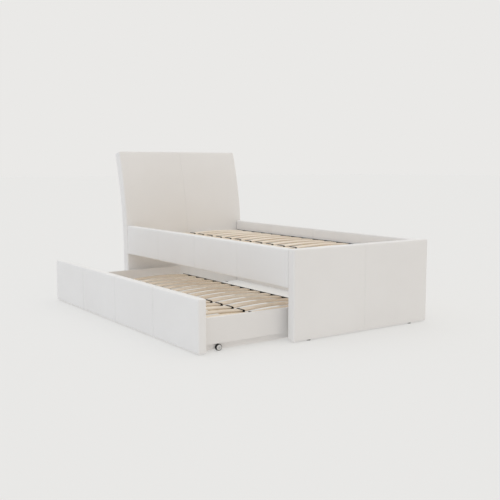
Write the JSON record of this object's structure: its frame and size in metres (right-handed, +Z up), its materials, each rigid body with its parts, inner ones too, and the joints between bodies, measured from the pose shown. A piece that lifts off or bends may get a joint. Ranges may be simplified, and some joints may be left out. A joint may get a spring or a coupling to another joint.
{
  "type": "trundle bed",
  "caption": "Upholstered single bed with a leaning headboard, bowed slats and a trundle bed on castors that rolls out from under its side rail.",
  "frame": {"origin": "on the floor, under the centre of the bounding box with the trundle pulled out 540 mm", "axes": "+Z up; +Y from the footboard to the headboard; the trundle rolls out towards -X"},
  "size_m": [1.54, 2.136, 1.0255],
  "materials": {
    "leather": "white faux leather, fine grain, satin",
    "board_core": "raw chipboard",
    "white_board": "white laminated board, satin",
    "pine": "planed softwood, unfinished",
    "beech": "bent beech laminate, clear satin",
    "black_plastic": "moulded black plastic",
    "castor_tyre": "black rubber tyre",
    "zinc": "zinc-plated steel",
    "white_steel": "white powder coat"
  },
  "bodies": {
    "bed": {"back_panel_core": "board_core", "back_panel_cover": "leather", "centre_rail": "pine", "centre_rail_shoe_foot": "white_steel", "centre_rail_shoe_head": "white_steel", "corner_bracket_foot_back": "zinc", "corner_bracket_foot_front": "zinc", "corner_bracket_head_back": "zinc", "corner_bracket_head_front": "zinc", "footboard_core": "board_core", "footboard_cover": "leather", "glide_foot_left": "black_plastic", "glide_foot_right": "black_plastic", "glide_head_left": "black_plastic", "glide_head_right": "black_plastic", "headboard_core": "board_core", "headboard_cover": "leather", "side_rail_core": "board_core", "side_rail_cover": "leather", "slat_ledger_back": "pine", "slat_ledger_front": "pine", "slats_01_02": "beech", "slats_03_04": "beech", "slats_05_06": "beech", "slats_07_08": "beech", "slats_09_10": "beech", "slats_11_12": "beech", "slats_13_14": "beech", "slats_15": "beech"},
    "trundle": {"castor_axle_back_foot": "zinc", "castor_axle_back_head": "zinc", "castor_axle_front_foot": "zinc", "castor_axle_front_head": "zinc", "trundle_back_rail": "white_board", "trundle_bracket_foot": "zinc", "trundle_bracket_head": "zinc", "trundle_castor_board_foot": "white_board", "trundle_castor_board_head": "white_board", "trundle_centre_bar": "pine", "trundle_end_rail_foot": "white_board", "trundle_end_rail_head": "white_board", "trundle_front_ledger": "pine", "trundle_panel_core": "board_core", "trundle_panel_cover": "leather", "trundle_slats_01_02": "beech", "trundle_slats_03_04": "beech", "trundle_slats_05_06": "beech", "trundle_slats_07_08": "beech", "trundle_slats_09_10": "beech", "trundle_slats_11_12": "beech", "trundle_slats_13_14": "beech", "trundle_slats_15": "beech"},
    "wheel_front_foot": {"castor_wheel_front_foot": "castor_tyre"},
    "wheel_front_head": {"castor_wheel_front_head": "castor_tyre"},
    "wheel_back_foot": {"castor_wheel_back_foot": "castor_tyre"},
    "wheel_back_head": {"castor_wheel_back_head": "castor_tyre"}
  },
  "joints": [
    {"name": "trundle_slide", "type": "slide", "parent": "bed", "child": "trundle", "axis": [-1, 0, 0], "range_m": [-0.54, 0.46]},
    {"name": "wheel_spin_front_foot", "type": "hinge", "parent": "trundle", "child": "wheel_front_foot", "pos_m": [-0.626, -0.96468, 0.017], "axis": [0, -1, 0], "continuous": true},
    {"name": "wheel_spin_front_head", "type": "hinge", "parent": "trundle", "child": "wheel_front_head", "pos_m": [-0.626, 0.83372, 0.017], "axis": [0, -1, 0], "continuous": true},
    {"name": "wheel_spin_back_foot", "type": "hinge", "parent": "trundle", "child": "wheel_back_foot", "pos_m": [0.085, -0.96468, 0.017], "axis": [0, -1, 0], "continuous": true},
    {"name": "wheel_spin_back_head", "type": "hinge", "parent": "trundle", "child": "wheel_back_head", "pos_m": [0.085, 0.83372, 0.017], "axis": [0, -1, 0], "continuous": true}
  ],
  "couplings": [
    {"joint": "wheel_spin_front_foot", "follows": "trundle_slide", "rad_per_m": 58.824},
    {"joint": "wheel_spin_front_head", "follows": "trundle_slide", "rad_per_m": 58.824},
    {"joint": "wheel_spin_back_foot", "follows": "trundle_slide", "rad_per_m": 58.824},
    {"joint": "wheel_spin_back_head", "follows": "trundle_slide", "rad_per_m": 58.824}
  ]
}
